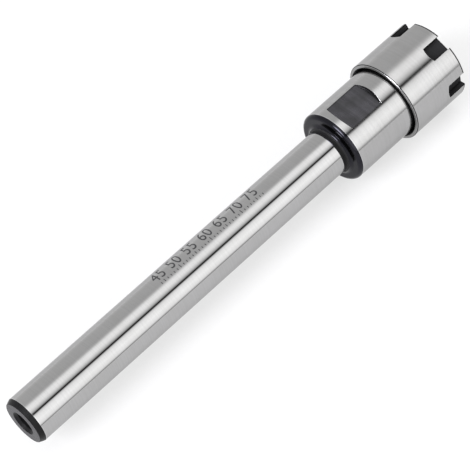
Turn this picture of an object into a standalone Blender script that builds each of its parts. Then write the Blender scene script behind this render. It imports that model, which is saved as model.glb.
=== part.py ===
"""Collet chuck extension: a straight-shank holder with its clamping nut, spring collet and stop screw.

The axis of the chuck lies along X. The origin is on that axis, in the plane of the shoulder where the
shank meets the head. The nut and the collet point along +X and the shank along -X. The wrench flats
face +Z and -Z. Sizes are real ones, given in millimetres below and kept in metres.
"""

import math

import bmesh
import bpy
from mathutils import Matrix

MM = 0.001

# Gap between pieces that touch or run on each other
RUNNING_GAP = 0.3 * MM

# Shank
SHANK_DIAMETER = 12.0 * MM
SHANK_LENGTH = 100.0 * MM
SHANK_END_DROP = 0.5 * MM
SHANK_END_TAPER = 1.3 * MM
COUNTERSINK_WIDTH = 0.7 * MM

# Black collar between the ground shank and the head
COLLAR_LENGTH = 1.9 * MM
COLLAR_STEP = 0.1 * MM
SHOULDER_FILLET = 1.4 * MM
HEAD_EDGE_RADIUS = 1.0 * MM

# Spring collet: its front face, head and groove are in front of the chuck's nose
COLLET_GAUGE_DIAMETER = 16.0 * MM
COLLET_GAUGE_DEPTH = 6.26 * MM
COLLET_LENGTH = 27.5 * MM
COLLET_TAPER = math.radians(8.0)
COLLET_FRONT_CONE = math.radians(30.0)
COLLET_HEAD_RISE = 0.5 * MM
COLLET_HEAD_LAND = 0.65 * MM
COLLET_CONE_DROP = 1.6 * MM
GROOVE_DROP = 1.3 * MM
GROOVE_FLOOR = 1.0 * MM
GROOVE_WALL_RUN = 0.4 * MM
COLLET_END_CHAMFER = 0.5 * MM
COLLET_REAR_WALL = 0.715 * MM
COLLET_RELIEF_STEP = 0.3 * MM
COLLET_GRIP_LENGTH = 20.0 * MM
BORE_EDGE = 0.25 * MM
SLITS_EACH_WAY = 8
SLIT_WIDTH = 0.6 * MM
FRONT_SLIT_BRIDGE = 4.0 * MM
REAR_SLIT_BRIDGE = 5.7 * MM

# Head of the chuck body
NOSE_WALL = 1.5 * MM
HEAD_LENGTH = 29.6 * MM
FLAT_DEPTH = 1.0 * MM
FLAT_START = 3.3 * MM
FLAT_LENGTH = 9.9 * MM
FLAT_END_RADIUS = 13.0 * MM
TOOL_ROOM = 5.2 * MM
DRILL_POINT = math.radians(59.0)
THREAD_PITCH = 1.0 * MM
RUNOUT_DROP = 0.9 * MM
RUNOUT_FLOOR = 0.8 * MM
RUNOUT_START = 0.4 * MM
NOSE_CHAMFER = 0.35 * MM
MOUTH_CHAMFER = 0.15 * MM

# Clamping nut
NUT_WALL = 1.5 * MM
NUT_LENGTH = 17.5 * MM
NUT_OVERHANG = 0.34 * MM
NUT_EDGE_RADIUS = 0.4 * MM
NUT_REAR_CHAMFER = 0.15 * MM
SKIRT_CHAMFER = 0.3 * MM
SKIRT_DEPTH = 2.0 * MM
LIP_WIDTH = 0.65 * MM
LIP_BITE = 0.85 * MM
LIP_OFFSET = 0.45 * MM
SLOT_COUNT = 6
SLOT_WIDTH = 4.0 * MM
SLOT_LENGTH = 5.6 * MM
SLOT_FLOOR_WALL = 0.45 * MM
NUT_CLOCKING = math.radians(20.9)

# Stop screw and its tapped bore
SCREW_DIAMETER = 6.0 * MM
SCREW_PITCH = 1.0 * MM
SCREW_LENGTH = 12.0 * MM
SCREW_CHAMFER = 0.5 * MM
SCREW_SET_BACK = 2.0 * MM
SOCKET_ACROSS_FLATS = 3.0 * MM
SOCKET_DEPTH = 4.5 * MM
TAPPED_DEPTH = 36.0 * MM

# How finely the round shapes are faceted
HEAD_FACETS = 72
COLLET_FACETS = 64
SCREW_FACETS = 32
ARC_STEPS = 4
CUT_MARGIN = 1.0 * MM

# Share of the pitch by which a metric thread's mean radius lies inside its full radius
MEAN_THREAD_SHARE = 0.3248

# Radii and places along the axis that follow from the sizes above
SHANK_RADIUS = SHANK_DIAMETER / 2
GAUGE_RADIUS = COLLET_GAUGE_DIAMETER / 2
COLLET_HEAD_RADIUS = GAUGE_RADIUS + COLLET_HEAD_RISE
HEAD_RADIUS = GAUGE_RADIUS + NOSE_WALL
NUT_RADIUS = HEAD_RADIUS + NUT_WALL
THREAD_RADIUS = HEAD_RADIUS - MEAN_THREAD_SHARE * THREAD_PITCH
SCREW_MEAN_RADIUS = SCREW_DIAMETER / 2 - MEAN_THREAD_SHARE * SCREW_PITCH
TAP_DRILL_RADIUS = (SCREW_DIAMETER - SCREW_PITCH) / 2

COLLET_FRONT = HEAD_LENGTH + COLLET_GAUGE_DEPTH
COLLET_REAR = COLLET_FRONT - COLLET_LENGTH
NUT_FRONT = COLLET_FRONT + NUT_OVERHANG
NUT_REAR = NUT_FRONT - NUT_LENGTH

CONE_LENGTH = COLLET_CONE_DROP / math.tan(COLLET_FRONT_CONE)
HEAD_LAND_FRONT = COLLET_FRONT - CONE_LENGTH
HEAD_LAND_REAR = HEAD_LAND_FRONT - COLLET_HEAD_LAND
GROOVE_RADIUS = COLLET_HEAD_RADIUS - GROOVE_DROP
GROOVE_FRONT = HEAD_LAND_REAR - GROOVE_WALL_RUN
GROOVE_REAR = GROOVE_FRONT - GROOVE_FLOOR

# The seat, the nut's front cone and its pocket stand off the collet by the running gap, square to it
TAPER_OFFSET = RUNNING_GAP / math.cos(COLLET_TAPER)
CONE_OFFSET = RUNNING_GAP / math.cos(COLLET_FRONT_CONE)
POCKET_RADIUS = COLLET_HEAD_RADIUS + CONE_OFFSET
SLOT_FLOOR_RADIUS = POCKET_RADIUS + SLOT_FLOOR_WALL


def taper_radius(x):
    """Radius of the collet's long taper at a place along the axis."""
    return GAUGE_RADIUS + (x - HEAD_LENGTH) * math.tan(COLLET_TAPER)


def cone_radius(x):
    """Radius of the nut's front cone at a place along the axis."""
    return POCKET_RADIUS + (HEAD_LAND_FRONT - x) * math.tan(COLLET_FRONT_CONE)


# The bore leaves the collet's thin rear end its wall, and comes to 8 mm across
COLLET_BORE_RADIUS = taper_radius(COLLET_REAR) - COLLET_REAR_WALL - COLLET_RELIEF_STEP


def arc(centre_x, centre_radius, size, start_degrees, end_degrees):
    """Points of a round edge in the turning plane, with angles measured from +X towards outwards."""
    points = []
    for step in range(ARC_STEPS + 1):
        angle = math.radians(start_degrees + (end_degrees - start_degrees) * step / ARC_STEPS)
        points.append((centre_x + size * math.cos(angle), centre_radius + size * math.sin(angle)))
    return points


def finish_mesh(name, shape, material):
    """Turn an edit mesh into a named object with outward faces, smooth where the real surface is."""
    bmesh.ops.remove_doubles(shape, verts=shape.verts, dist=0.00001 * MM)
    bmesh.ops.recalc_face_normals(shape, faces=shape.faces)
    mesh = bpy.data.meshes.new(name)
    shape.to_mesh(mesh)
    shape.free()
    mesh.shade_smooth()
    mesh.set_sharp_from_angle(angle=math.radians(20.0))
    piece = bpy.data.objects.new(name, mesh)
    bpy.context.scene.collection.objects.link(piece)
    if material:
        mesh.materials.append(material)
    return piece


def turned(name, outline, facets, material, closed=True):
    """Spin an outline of (x, radius) points about the X axis.

    A closed outline makes a piece with a hole through it. An open one starts and ends on the axis.
    """
    shape = bmesh.new()
    points = [shape.verts.new((x, 0.0, radius)) for x, radius in outline]
    pairs = list(zip(points, points[1:]))
    if closed:
        pairs.append((points[-1], points[0]))
    lines = [shape.edges.new(pair) for pair in pairs]
    bmesh.ops.spin(
        shape, geom=points + lines, axis=(1.0, 0.0, 0.0), cent=(0.0, 0.0, 0.0),
        angle=2 * math.pi, steps=facets, use_merge=True,
    )
    return finish_mesh(name, shape, material)


def add_block(shape, low, high, turn=0.0):
    """Add a box between two corners to an edit mesh, turned about the X axis."""
    middle = [(a + b) / 2 for a, b in zip(low, high)]
    size = [b - a for a, b in zip(low, high)]
    place = Matrix.Rotation(turn, 4, "X") @ Matrix.Translation(middle) @ Matrix.Diagonal((*size, 1.0))
    bmesh.ops.create_cube(shape, size=1.0, matrix=place)


def cut_away(piece, cutter):
    """Take a cutter's shape out of a piece, and keep the cutter as a hidden guide."""
    cutter.hide_render = True
    cutter.display_type = "WIRE"
    cut = piece.modifiers.new(cutter.name, "BOOLEAN")
    cut.operation = "DIFFERENCE"
    cut.solver = "EXACT"
    cut.object = cutter


def steel(name, colour, roughness):
    """A metal finish of one colour and roughness."""
    material = bpy.data.materials.new(name)
    material.use_nodes = True
    shader = material.node_tree.nodes["Principled BSDF"]
    shader.inputs["Base Color"].default_value = (*colour, 1.0)
    shader.inputs["Metallic"].default_value = 1.0
    shader.inputs["Roughness"].default_value = roughness
    return material


def body_outline():
    """Outline of the chuck body: outside from the shank's end to the nose, then back down the bore."""
    shank_end = -SHANK_LENGTH
    collar_radius = SHANK_RADIUS + COLLAR_STEP
    countersink_radius = TAP_DRILL_RADIUS + COUNTERSINK_WIDTH
    fillet = min(SHOULDER_FILLET, HEAD_RADIUS - HEAD_EDGE_RADIUS - collar_radius)
    outside = [
        (shank_end, countersink_radius),
        (shank_end, SHANK_RADIUS - SHANK_END_DROP),
        (shank_end + SHANK_END_TAPER, SHANK_RADIUS),
        (-COLLAR_LENGTH, SHANK_RADIUS),
        (-COLLAR_LENGTH + COLLAR_STEP, collar_radius),
    ]
    outside += arc(-fillet, collar_radius + fillet, fillet, -90, 0)
    outside += arc(HEAD_EDGE_RADIUS, HEAD_RADIUS - HEAD_EDGE_RADIUS, HEAD_EDGE_RADIUS, 180, 90)

    runout_top = NUT_REAR + SKIRT_DEPTH - RUNOUT_START
    runout_radius = HEAD_RADIUS - RUNOUT_DROP
    male_radius = THREAD_RADIUS - RUNNING_GAP / 2
    runout_rear = runout_top + RUNOUT_DROP
    runout_front = runout_rear + RUNOUT_FLOOR
    thread_start = runout_front + male_radius - runout_radius
    nose_chamfer_start = HEAD_LENGTH - NOSE_CHAMFER
    outside += [
        (runout_top, HEAD_RADIUS),
        (runout_rear, runout_radius),
        (runout_front, runout_radius),
        (thread_start, male_radius),
        (nose_chamfer_start, male_radius),
        (HEAD_LENGTH, male_radius - NOSE_CHAMFER),
    ]

    seat_end = COLLET_REAR - RUNNING_GAP
    relief_radius = taper_radius(seat_end) + TAPER_OFFSET
    relief_end = COLLET_REAR - TOOL_ROOM
    tapped_radius = SCREW_MEAN_RADIUS + RUNNING_GAP / 2
    tapped_start = relief_end - (relief_radius - tapped_radius) / math.tan(DRILL_POINT)
    tapped_end = tapped_start - TAPPED_DEPTH
    mouth_radius = taper_radius(HEAD_LENGTH) + TAPER_OFFSET + MOUTH_CHAMFER
    inside = [
        (HEAD_LENGTH, mouth_radius),
        (HEAD_LENGTH - MOUTH_CHAMFER, taper_radius(HEAD_LENGTH - MOUTH_CHAMFER) + TAPER_OFFSET),
        (seat_end, relief_radius),
        (relief_end, relief_radius),
        (tapped_start, tapped_radius),
        (tapped_end, tapped_radius),
        (tapped_end - (tapped_radius - TAP_DRILL_RADIUS), TAP_DRILL_RADIUS),
        (shank_end + COUNTERSINK_WIDTH, TAP_DRILL_RADIUS),
    ]
    return outside + inside


def flats_cutter():
    """Cutter for the two wrench flats. Their ends are rounded in plan, as the milling cutter leaves them."""
    flat_height = HEAD_RADIUS - FLAT_DEPTH
    half_width = math.sqrt(HEAD_RADIUS ** 2 - flat_height ** 2)
    corner_sag = math.sqrt(FLAT_END_RADIUS ** 2 - half_width ** 2)
    front_edge = []
    rear_edge = []
    for step in range(2 * ARC_STEPS + 1):
        across = (half_width + CUT_MARGIN) * (step / ARC_STEPS - 1)
        bulge = math.sqrt(FLAT_END_RADIUS ** 2 - across ** 2) - corner_sag
        front_edge.append((FLAT_START + FLAT_LENGTH + bulge, across, flat_height))
        rear_edge.append((FLAT_START - bulge, across, flat_height))

    shape = bmesh.new()
    floor = shape.faces.new([shape.verts.new(point) for point in front_edge + rear_edge[::-1]])
    raised = bmesh.ops.extrude_face_region(shape, geom=[floor], use_keep_orig=True)
    top = [item for item in raised["geom"] if isinstance(item, bmesh.types.BMVert)]
    bmesh.ops.translate(shape, verts=top, vec=(0.0, 0.0, FLAT_DEPTH + CUT_MARGIN))
    other = bmesh.ops.duplicate(shape, geom=shape.verts[:] + shape.edges[:] + shape.faces[:])
    other_points = [item for item in other["geom"] if isinstance(item, bmesh.types.BMVert)]
    bmesh.ops.rotate(shape, verts=other_points, cent=(0.0, 0.0, 0.0), matrix=Matrix.Rotation(math.pi, 3, "X"))
    return finish_mesh("flats_cutter", shape, None)


def make_body(material):
    """The chuck body: shank, collar, head with two wrench flats, threaded nose, taper seat and bore."""
    body = turned("chuck_body", body_outline(), HEAD_FACETS, material)
    cut_away(body, flats_cutter())
    return body


def nut_outline():
    """Outline of the nut: outside from its rear to its front, then the mouth, cone, lip and thread."""
    skirt_radius = HEAD_RADIUS + RUNNING_GAP
    female_radius = THREAD_RADIUS + RUNNING_GAP / 2
    outside = [
        (NUT_REAR, skirt_radius + SKIRT_CHAMFER),
        (NUT_REAR, NUT_RADIUS - NUT_REAR_CHAMFER),
        (NUT_REAR + NUT_REAR_CHAMFER, NUT_RADIUS),
    ]
    outside += arc(NUT_FRONT - NUT_EDGE_RADIUS, NUT_RADIUS - NUT_EDGE_RADIUS, NUT_EDGE_RADIUS, 90, 0)

    lip_front = GROOVE_FRONT - RUNNING_GAP / 2
    lip_rear = lip_front - LIP_WIDTH
    lip_radius = COLLET_HEAD_RADIUS - LIP_BITE
    pocket_rear = HEAD_LAND_REAR - RUNNING_GAP / 2
    throat_radius = COLLET_HEAD_RADIUS + RUNNING_GAP / 3
    throat_front = lip_rear - RUNNING_GAP
    throat_rear = HEAD_LENGTH + 2 * RUNNING_GAP
    thread_front = throat_rear - (female_radius - throat_radius)
    inside = [
        (NUT_FRONT, cone_radius(NUT_FRONT) + BORE_EDGE),
        (NUT_FRONT - BORE_EDGE, cone_radius(NUT_FRONT - BORE_EDGE)),
        (HEAD_LAND_FRONT, POCKET_RADIUS),
        (pocket_rear, POCKET_RADIUS),
        (lip_front, lip_radius - RUNNING_GAP),
        (lip_rear, lip_radius - RUNNING_GAP),
        (throat_front, throat_radius),
        (throat_rear, throat_radius),
        (thread_front, female_radius),
        (NUT_REAR + SKIRT_DEPTH + skirt_radius - female_radius, female_radius),
        (NUT_REAR + SKIRT_DEPTH, skirt_radius),
        (NUT_REAR + SKIRT_CHAMFER, skirt_radius),
    ]
    return outside + inside


def make_nut(material):
    """The clamping nut, with its slots for a pin wrench and the lip that pulls the collet out."""
    nut = turned("clamping_nut", nut_outline(), HEAD_FACETS, material)

    slots = bmesh.new()
    for index in range(SLOT_COUNT):
        add_block(
            slots,
            (NUT_FRONT - SLOT_LENGTH, -SLOT_WIDTH / 2, SLOT_FLOOR_RADIUS),
            (NUT_FRONT + CUT_MARGIN, SLOT_WIDTH / 2, NUT_RADIUS + CUT_MARGIN),
            NUT_CLOCKING + index * 2 * math.pi / SLOT_COUNT,
        )
    cut_away(nut, finish_mesh("slots_cutter", slots, None))

    # The lip is bored off the nut's axis, so it hooks the collet's groove on one side only
    lip_bore = bmesh.new()
    lip_bore_radius = COLLET_HEAD_RADIUS - LIP_BITE + LIP_OFFSET
    place = Matrix.Translation((GROOVE_REAR, LIP_OFFSET, 0.0)) @ Matrix.Rotation(math.pi / 2, 4, "Y")
    bmesh.ops.create_cone(
        lip_bore, cap_ends=True, segments=COLLET_FACETS,
        radius1=lip_bore_radius, radius2=lip_bore_radius,
        depth=2 * (HEAD_LAND_FRONT - GROOVE_REAR), matrix=place,
    )
    cut_away(nut, finish_mesh("lip_cutter", lip_bore, None))
    return nut


def collet_outline():
    """Outline of the collet: outside from its rear to its front, then back through its bore."""
    bore_radius = COLLET_BORE_RADIUS
    relief_radius = bore_radius + COLLET_RELIEF_STEP
    relief_start = COLLET_FRONT - COLLET_GRIP_LENGTH
    shoulder = GROOVE_REAR - GROOVE_WALL_RUN
    chamfer_start = COLLET_REAR + COLLET_END_CHAMFER
    return [
        (COLLET_REAR, taper_radius(chamfer_start) - COLLET_END_CHAMFER / 2),
        (chamfer_start, taper_radius(chamfer_start)),
        (shoulder, taper_radius(shoulder)),
        (GROOVE_REAR, GROOVE_RADIUS),
        (GROOVE_FRONT, GROOVE_RADIUS),
        (HEAD_LAND_REAR, COLLET_HEAD_RADIUS),
        (HEAD_LAND_FRONT, COLLET_HEAD_RADIUS),
        (COLLET_FRONT, COLLET_HEAD_RADIUS - COLLET_CONE_DROP),
        (COLLET_FRONT, bore_radius + BORE_EDGE),
        (COLLET_FRONT - BORE_EDGE, bore_radius),
        (relief_start, bore_radius),
        (relief_start - COLLET_RELIEF_STEP, relief_radius),
        (COLLET_REAR, relief_radius),
    ]


def slit_cutter(name, start, end, turn):
    """Thin blades around the axis, one for each slit, between two places along it."""
    blades = bmesh.new()
    inner = COLLET_BORE_RADIUS / 2
    outer = COLLET_HEAD_RADIUS + CUT_MARGIN
    for index in range(SLITS_EACH_WAY):
        add_block(
            blades,
            (start, -SLIT_WIDTH / 2, inner),
            (end, SLIT_WIDTH / 2, outer),
            turn + index * 2 * math.pi / SLITS_EACH_WAY,
        )
    return finish_mesh(name, blades, None)


def make_collet(material):
    """The spring collet, slit by turns from its front and from its rear so that it closes evenly."""
    collet = turned("collet", collet_outline(), COLLET_FACETS, material)
    front_slits = slit_cutter(
        "front_slits_cutter", COLLET_REAR + FRONT_SLIT_BRIDGE, COLLET_FRONT + CUT_MARGIN, 0.0
    )
    rear_slits = slit_cutter(
        "rear_slits_cutter", COLLET_REAR - CUT_MARGIN, COLLET_FRONT - REAR_SLIT_BRIDGE,
        math.pi / SLITS_EACH_WAY,
    )
    cut_away(collet, front_slits)
    cut_away(collet, rear_slits)
    return collet


def make_stop_screw(material):
    """The stop screw in the tapped bore, with its hexagon socket towards the collet."""
    radius = SCREW_MEAN_RADIUS - RUNNING_GAP / 2
    front = -SCREW_SET_BACK
    rear = front - SCREW_LENGTH
    outline = [
        (rear, 0.0),
        (rear, radius - SCREW_CHAMFER),
        (rear + SCREW_CHAMFER, radius),
        (front - SCREW_CHAMFER, radius),
        (front, radius - SCREW_CHAMFER),
        (front, 0.0),
    ]
    screw = turned("stop_screw", outline, SCREW_FACETS, material, closed=False)
    socket = bmesh.new()
    corner_radius = SOCKET_ACROSS_FLATS / 2 / math.cos(math.pi / 6)
    place = Matrix.Translation((front, 0.0, 0.0)) @ Matrix.Rotation(math.pi / 2, 4, "Y")
    bmesh.ops.create_cone(
        socket, cap_ends=True, segments=6, radius1=corner_radius, radius2=corner_radius,
        depth=2 * SOCKET_DEPTH, matrix=place,
    )
    cut_away(screw, finish_mesh("socket_cutter", socket, None))
    return screw


def main():
    """Clear the scene's objects and model the four pieces of the chuck."""
    for old in list(bpy.data.objects):
        bpy.data.objects.remove(old, do_unlink=True)
    make_body(steel("ground_steel", (0.62, 0.62, 0.63), 0.25))
    make_nut(steel("nut_steel", (0.60, 0.60, 0.61), 0.28))
    make_collet(steel("spring_steel", (0.55, 0.55, 0.56), 0.3))
    make_stop_screw(steel("black_steel", (0.04, 0.04, 0.045), 0.45))


main()
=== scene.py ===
"""Looks of the collet chuck extension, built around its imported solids.

Each of the four pieces gets a fine mesh in the place of its faceted solid: turned outlines with their
edges, real helical threads, and the cuts for wrench flats, slots, slits and socket. A plain depth scale
lies on the shank. Lengths in the classes are millimetres, and become metres as a mesh is made. The axis
of the chuck lies along X, with the nut at the front.
"""

import logging
import math
from dataclasses import dataclass, field
from enum import Enum

import bmesh
import bpy
from mathutils import Matrix, Quaternion, Vector


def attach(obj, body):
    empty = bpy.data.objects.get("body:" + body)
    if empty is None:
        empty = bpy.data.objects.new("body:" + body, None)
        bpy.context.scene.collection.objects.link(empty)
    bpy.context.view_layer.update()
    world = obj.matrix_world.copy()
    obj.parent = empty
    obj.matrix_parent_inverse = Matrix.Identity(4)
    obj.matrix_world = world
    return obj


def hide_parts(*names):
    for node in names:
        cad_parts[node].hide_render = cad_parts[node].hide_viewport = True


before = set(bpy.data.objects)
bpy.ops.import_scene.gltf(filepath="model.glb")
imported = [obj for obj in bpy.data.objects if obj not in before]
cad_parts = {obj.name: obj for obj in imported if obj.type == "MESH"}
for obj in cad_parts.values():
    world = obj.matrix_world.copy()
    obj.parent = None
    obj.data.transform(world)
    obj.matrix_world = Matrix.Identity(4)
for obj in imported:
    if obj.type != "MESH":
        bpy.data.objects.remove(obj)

LOG = logging.getLogger("collet_chuck")

MM = 0.001
FULL_TURN = 2 * math.pi

# Points nearer than WELD become one. A cutter reaches OVERSHOOT, in millimetres, past what it cuts. An
# edge that turns by more than SHARP_ANGLE isn't shaded round.
WELD = 0.0008 * MM
OVERSHOOT = 1.0
SHARP_ANGLE = math.radians(22.0)

BODY_COLUMNS = 288
COLLET_COLUMNS = 256
SCREW_COLUMNS = 144
LIP_COLUMNS = 192

INPUT_KINDS = {float: "NodeSocketFloat", int: "NodeSocketInt", type(None): "NodeSocketMaterial"}
OUTPUT_KINDS = {"VALUE": "NodeSocketFloat", "VECTOR": "NodeSocketVector", "GEOMETRY": "NodeSocketGeometry"}

Point = tuple[float, float]
Colour = tuple[float, float, float]
Piece = bpy.types.Object
Mesh = bpy.types.Mesh
Shape = bmesh.types.BMesh
Ring = list[bmesh.types.BMVert]
Tree = bpy.types.NodeTree
Node = bpy.types.Node
Socket = bpy.types.NodeSocket
Sockets = bpy.types.bpy_prop_collection
Feed = Socket | bpy.types.Material | float | int | bool | tuple


class Surface(Enum):
    """Which finish a face has. The value is the material's name."""

    GROUND = "ground_bright"
    SATIN = "ground_satin"
    BLACK = "black_oxide"
    FLAT = "milled_flat"
    LAND = "burnished_land"
    COLLAR = "polished_black"
    # DARK is near-black matte: the colour of the milled slots, and painted shade in the gap behind the nut,
    # on part of the fillet and in the slots' corners, with a painted dark reflection behind the nut's front
    # edge.
    DARK = "milled_black"
    # DEEP is near black: the finish of the shank's end and countersink, and painted shade in the plain hole
    # and at the fillet's root.
    DEEP = "deep_black"
    RIM = "turned_rim"
    BORE = "reamed_bore"
    THREAD = "oiled_thread"
    SPRING = "polished_spring"
    MARK = "etched_mark"
    SCREW = "screw_black"


class Side(Enum):
    """Whether a thread stands out of a shaft or into a bore."""

    OUTER = 1.0
    INNER = -1.0


class Pen:
    """Adds nodes to a tree and wires them, so that a tree reads much like a formula."""

    def __init__(self, tree: Tree) -> None:
        """Keep the tree that the nodes go into."""
        self.tree = tree

    @classmethod
    def group(cls, kind: str, name: str, inputs: dict[str, float | int | None]) -> tuple["Pen", Sockets]:
        """Start a node group.

        Args:
            kind: The kind of tree, as Blender names it.
            name: The group's name.
            inputs: The default of each input, by name. None stands for an input that takes a material.

        Returns:
            A pen for the group, and the sockets that its inputs come in by.
        """
        tree = bpy.data.node_groups.new(name, kind)
        for label, value in inputs.items():
            socket = tree.interface.new_socket(label, in_out="INPUT", socket_type=INPUT_KINDS[type(value)])
            if value is not None:
                socket.default_value = value
        return cls(tree), tree.nodes.new("NodeGroupInput").outputs

    def send(self, results: dict[str, Socket]) -> Tree:
        """Send a group's results out.

        Args:
            results: The socket that each output comes from, by the output's name.

        Returns:
            The finished group.
        """
        for name, result in results.items():
            self.tree.interface.new_socket(name, in_out="OUTPUT", socket_type=OUTPUT_KINDS[result.type])
        self.node("NodeGroupOutput", results)
        return self.tree

    def feed(self, socket: Socket, value: Feed) -> None:
        """Wire an input to a socket, or set it to a plain value.

        Args:
            socket: The input.
            value: The socket or the plain value that goes into it.
        """
        if isinstance(value, Socket):
            self.tree.links.new(value, socket)
        else:
            socket.default_value = value

    def fill(self, node: Node, inputs: dict[str | int, Feed]) -> None:
        """Feed a node's inputs, by name or by place."""
        for place, value in inputs.items():
            self.feed(node.inputs[place], value)

    def node(self, kind: str, inputs: dict[str | int, Feed] | None = None, **settings: object) -> Node:
        """Add a node.

        Args:
            kind: The type of the node, as Blender names it.
            inputs: What goes into its inputs, by name or by place.
            settings: The node's own properties.

        Returns:
            The new node.
        """
        node = self.tree.nodes.new(kind)
        for name, value in settings.items():
            setattr(node, name, value)
        self.fill(node, inputs or {})
        return node

    def use(self, group: Tree, inputs: dict[str | int, Feed]) -> Sockets:
        """Place a shader group with its own values, and give its outputs."""
        return self.node("ShaderNodeGroup", inputs, node_tree=group).outputs

    def math(self, operation: str, *values: Feed) -> Socket:
        """Reckon with numbers, as the Math node's operation says."""
        return self.node("ShaderNodeMath", dict(enumerate(values)), operation=operation).outputs[0]

    def split(self, number: Feed, size: Feed) -> tuple[Socket, Socket]:
        """Divide a whole number, and give how many times the size goes into it and what is left."""
        times = self.math("FLOOR", self.math("DIVIDE", self.math("ADD", number, 0.5), size))
        return times, self.math("SUBTRACT", number, self.math("MULTIPLY", times, size))

    def blend(self, share: Feed, low: Feed, high: Feed) -> Socket:
        """Mix two numbers, from the low one at a share of 0 to the high one at 1."""
        return self.node("ShaderNodeMix", {0: share, 2: low, 3: high}, data_type="FLOAT").outputs[0]

    def tint(self, share: Feed, low: Feed, high: Feed) -> Socket:
        """Mix two colours, from the low one at a share of 0 to the high one at 1."""
        return self.node("ShaderNodeMix", {0: share, 6: low, 7: high}, data_type="RGBA").outputs[2]

    def remap(self, value: Feed, start: Feed, end: Feed, low: float = 0.0, high: float = 1.0) -> Socket:
        """Stretch the values between start and end over the range from low to high, and stop there."""
        return self.node("ShaderNodeMapRange", {0: value, 1: start, 2: end, 3: low, 4: high}).outputs[0]

    def join(self, x: Feed = 0.0, y: Feed = 0.0, z: Feed = 0.0) -> Socket:
        """Make a vector of three numbers."""
        return self.node("ShaderNodeCombineXYZ", {0: x, 1: y, 2: z}).outputs[0]

    def parts(self, vector: Feed) -> Sockets:
        """Take a vector apart into its three numbers."""
        return self.node("ShaderNodeSeparateXYZ", {0: vector}).outputs

    def dot(self, first: Feed, second: Feed) -> Socket:
        """Compare two directions, from 1 where they agree to 0 where they are square."""
        node = self.node("ShaderNodeVectorMath", {0: first, 1: second}, operation="DOT_PRODUCT")
        return node.outputs["Value"]


def new_material(name: str) -> tuple[bpy.types.Material, Pen, Node]:
    """Start a material.

    Args:
        name: Its name.

    Returns:
        The material, a pen for its nodes, and its shader.
    """
    material = bpy.data.materials.new(name)
    material.use_nodes = True
    return material, Pen(material.node_tree), material.node_tree.nodes["Principled BSDF"]


def as_mesh(shape: Shape, name: str, *materials: bpy.types.Material) -> Mesh:
    """Turn a finished shape into a mesh.

    Args:
        shape: The shape, which is given up.
        name: The mesh's name.
        materials: What goes into the mesh's material slots, in order.

    Returns:
        The mesh.
    """
    mesh = bpy.data.meshes.new(name)
    shape.to_mesh(mesh)
    shape.free()
    for material in materials:
        mesh.materials.append(material)
    return mesh


def in_scene(name: str, data: bpy.types.ID) -> Piece:
    """Put a mesh, a text or a camera into the scene as an object.

    Args:
        name: The object's name.
        data: What it shows.

    Returns:
        The object, at the origin.
    """
    thing = bpy.data.objects.new(name, data)
    bpy.context.scene.collection.objects.link(thing)
    return thing


def evaluated(thing: Piece) -> Mesh:
    """Make a plain mesh of an object as its modifiers or its letters leave it."""
    depsgraph = bpy.context.evaluated_depsgraph_get()
    return bpy.data.meshes.new_from_object(thing.evaluated_get(depsgraph), depsgraph=depsgraph)


def grow(tree: Tree, values: dict[str, Feed]) -> Mesh:
    """Run a Geometry Nodes tree and keep its result as a plain mesh.

    Args:
        tree: The tree, which makes its own geometry.
        values: What goes into its named inputs.

    Returns:
        The mesh, with the modifier gone.
    """
    host = in_scene(tree.name, bpy.data.meshes.new(tree.name))
    modifier = host.modifiers.new(tree.name, "NODES")
    modifier.node_group = tree
    for item in tree.interface.items_tree:
        if item.item_type == "SOCKET" and item.name in values:
            modifier[item.identifier] = values[item.name]
    mesh = evaluated(host)
    host.modifiers.remove(modifier)
    bpy.data.objects.remove(host)
    return mesh


@dataclass
class Outline:
    """The outline of a turned piece, drawn from point to point.

    A point gives its place along the axis and its distance from the axis.
    """

    points: list[Point]
    surfaces: list[Surface] = field(default_factory=list)

    def line(self, surface: Surface, *points: Point) -> "Outline":
        """Draw straight stretches.

        Args:
            surface: Their finish.
            points: Where each of them ends.

        Returns:
            The outline, so that calls can follow each other.
        """
        self.points.extend(points)
        self.surfaces.extend([surface] * len(points))
        return self

    def arc(self, surface: Surface, centre: Point, size: float, angles: Point, steps: int) -> None:
        """Draw a round stretch.

        Args:
            surface: Its finish.
            centre: Its centre, along the axis and away from it.
            size: Its radius.
            angles: Where it starts and ends, in degrees from +X towards outwards.
            steps: How many straight pieces it has.
        """
        for step in range(steps + 1):
            angle = math.radians(angles[0] + (angles[1] - angles[0]) * step / steps)
            place = (centre[0] + size * math.cos(angle), centre[1] + size * math.sin(angle))
            if math.dist(place, self.points[-1]) > WELD / MM:
                self.line(surface, place)


@dataclass
class Thread:
    """A right-hand thread between two places along the axis.

    It has the radius of its ridge, of its groove and of the plain rings that it ends in at the rear and
    at the front. The middle of the ridge passes +Y at the place that the phase gives.
    """

    start: float
    end: float
    ridge: float
    groove: float
    rear: float
    front: float
    side: Side
    phase: float = 0.0
    pitch: float = 1.0

    def mesh(self, tree: Tree, columns: int) -> Mesh:
        """Grow the thread's surface.

        Args:
            tree: The Geometry Nodes tree for threads.
            columns: How many facets go round the axis.

        Returns:
            The surface as an open strip with a plain ring at each end.
        """
        return grow(tree, {
            "Start": self.start * MM, "Length": (self.end - self.start) * MM, "Pitch": self.pitch * MM,
            "Ridge": self.ridge * MM, "Groove": self.groove * MM, "Rear": self.rear * MM,
            "Front": self.front * MM, "Side": self.side.value,
            "Shift": ((self.phase - self.start) / self.pitch) % 1.0, "Columns": columns,
        })


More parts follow.
